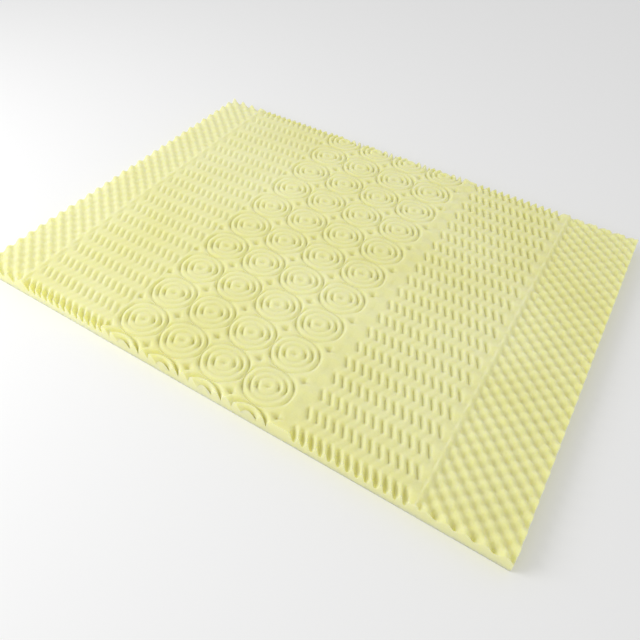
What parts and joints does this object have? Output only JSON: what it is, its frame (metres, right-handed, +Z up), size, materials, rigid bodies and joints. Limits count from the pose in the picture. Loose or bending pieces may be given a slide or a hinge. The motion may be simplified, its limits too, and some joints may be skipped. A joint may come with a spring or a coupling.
{
  "type": "mattress topper",
  "caption": "Convoluted foam mattress topper lying flat, with egg-crate ends, zig-zag ridge bands and a middle field of ring-shaped pods.",
  "frame": {"origin": "middle of the flat underside", "axes": "+X along the length, towards the longer egg-crate field; +Y across the width; +Z up, out of the profiled face"},
  "size_m": [2, 1.5, 0.066],
  "materials": {
    "foam": "matt pale yellow open-cell polyurethane foam, with freshly cut sides"
  },
  "bodies": {
    "root": {"foam_slab": "foam"}
  },
  "joints": []
}
